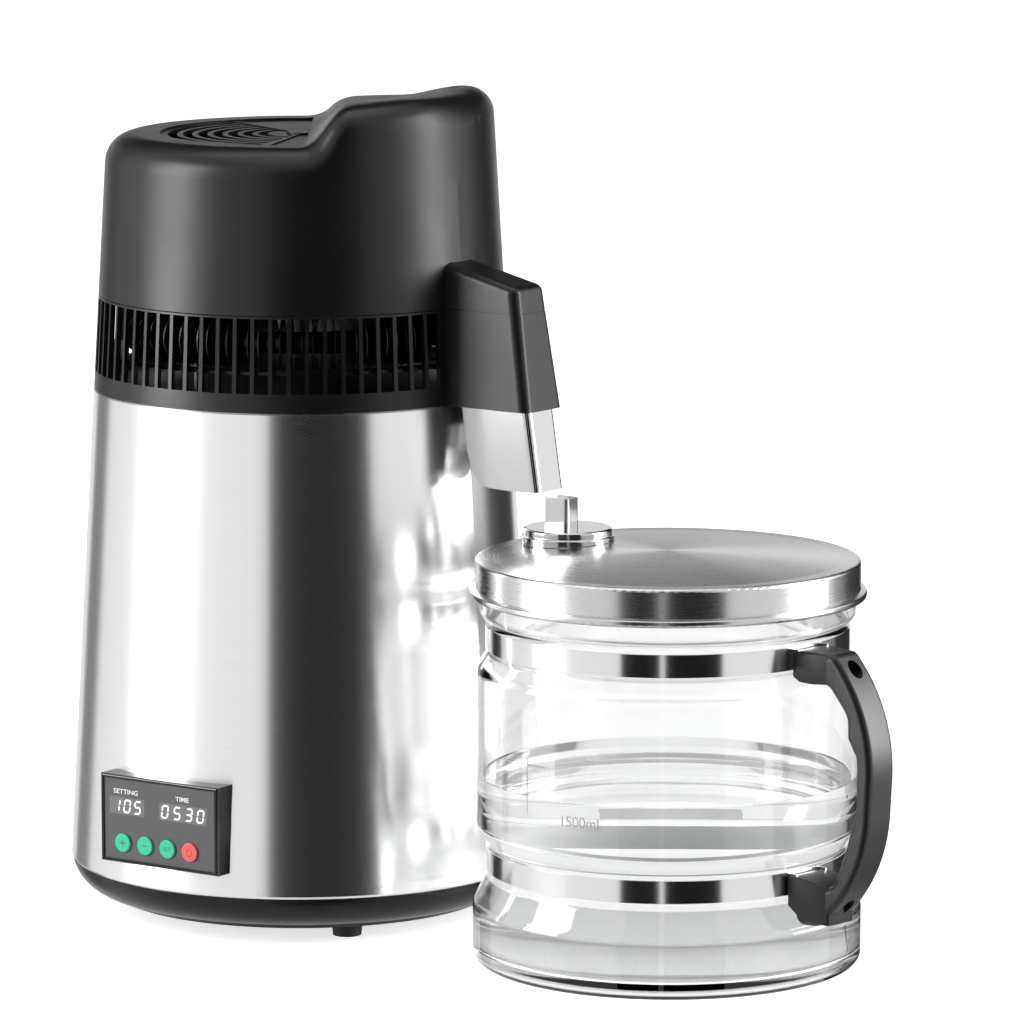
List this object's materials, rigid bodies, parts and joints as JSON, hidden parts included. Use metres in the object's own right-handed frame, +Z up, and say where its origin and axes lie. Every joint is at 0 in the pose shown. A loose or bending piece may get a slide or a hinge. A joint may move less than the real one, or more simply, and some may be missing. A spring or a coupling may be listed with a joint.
{
  "type": "water distiller",
  "caption": "Countertop water distiller: steel boiler with a lift-off black fan head and spout, filling a lidded glass jug with a handle.",
  "frame": {"origin": "on the table under the middle of the machine and jug together", "axes": "+X from the machine through its spout to the jug and its handle, -Y towards the control panel, +Z up"},
  "size_m": [0.4464, 0.2251, 0.3855],
  "materials": {
    "rubber": "matte",
    "silicone": "satin",
    "black_plastic": "satin",
    "gloss_black": "gloss",
    "panel_grey": "matte",
    "window_tint": "gloss",
    "button_green": "satin",
    "button_red": "satin",
    "steel": "brushed",
    "aluminium": "satin",
    "heater_sheath": "matte",
    "motor_grey": "satin",
    "board_green": "satin",
    "glass": "clear",
    "cloth": "matte"
  },
  "bodies": {
    "base": {"rubber_feet": "rubber", "base_pan": "black_plastic", "base_ring": "black_plastic", "outer_casing": "steel", "boiler_pot": "steel", "heating_plate": "aluminium", "heating_element": "heater_sheath", "thermal_cutout": "black_plastic", "boiler_rack": "steel", "mains_inlet": "black_plastic", "fan_lead_outlet": "black_plastic", "panel_frame": "gloss_black", "panel_face": "panel_grey", "setting_window": "window_tint", "time_window": "window_tint", "control_board": "board_green", "button_switches": "black_plastic", "display_digits": "black_plastic"},
    "plus_key": {"button_plus": "button_green"},
    "minus_key": {"button_minus": "button_green"},
    "set_key": {"button_set": "button_green"},
    "power_key": {"button_power": "button_red"},
    "head": {"head_cover": "black_plastic", "vent_ring": "black_plastic", "fan_grille": "black_plastic", "boiler_gasket": "silicone", "steam_dome": "steel", "condenser_coil": "steel", "coil_fins": "steel", "coil_brackets": "steel", "fan_plate": "steel", "fan_motor": "motor_grey", "fan_lead_inlet": "black_plastic"},
    "fan": {"fan_shaft": "steel", "fan_blades": "black_plastic"},
    "outlet_nozzle": {"nozzle": "steel", "charcoal_sachet": "cloth"},
    "jug": {"jug_glass": "glass", "lower_band": "steel", "upper_band": "steel", "jug_handle": "black_plastic", "handle_screws": "steel"},
    "lid": {"jug_lid": "steel", "lid_seal": "silicone"},
    "cap": {"filling_cap": "steel", "filling_tube": "steel"}
  },
  "joints": [
    {"name": "head_lift", "type": "slide", "parent": "base", "child": "head", "axis": [0, 0, 1], "range_m": [0, 0.12]},
    {"name": "fan_spin", "type": "hinge", "parent": "head", "child": "fan", "pos_m": [-0.11305, 0, 0.33], "axis": [0, 0, 1], "continuous": true},
    {"name": "nozzle_slide", "type": "slide", "parent": "head", "child": "outlet_nozzle", "axis": [-0.1532, 0, 0.9882], "range_m": [0, 0.02]},
    {"name": "jug_slide", "type": "slide", "parent": "base", "child": "jug", "axis": [1, 0, 0], "range_m": [0, 0.15]},
    {"name": "lid_lift", "type": "slide", "parent": "jug", "child": "lid", "axis": [0, 0, 1], "range_m": [0, 0.014]},
    {"name": "cap_lift", "type": "slide", "parent": "lid", "child": "cap", "axis": [0, 0, 1], "range_m": [0, 0.01]},
    {"name": "plus_press", "type": "slide", "parent": "base", "child": "plus_key", "axis": [-0.0454, 0.999, 0], "range_m": [0, 0.0008], "stiffness_N_per_m": 300, "springref_m": -0.001},
    {"name": "minus_press", "type": "slide", "parent": "base", "child": "minus_key", "axis": [-0.0454, 0.999, 0], "range_m": [0, 0.0008], "stiffness_N_per_m": 300, "springref_m": -0.001},
    {"name": "set_press", "type": "slide", "parent": "base", "child": "set_key", "axis": [-0.0454, 0.999, 0], "range_m": [0, 0.0008], "stiffness_N_per_m": 300, "springref_m": -0.001},
    {"name": "power_press", "type": "slide", "parent": "base", "child": "power_key", "axis": [-0.0454, 0.999, 0], "range_m": [0, 0.0008], "stiffness_N_per_m": 300, "springref_m": -0.001}
  ]
}
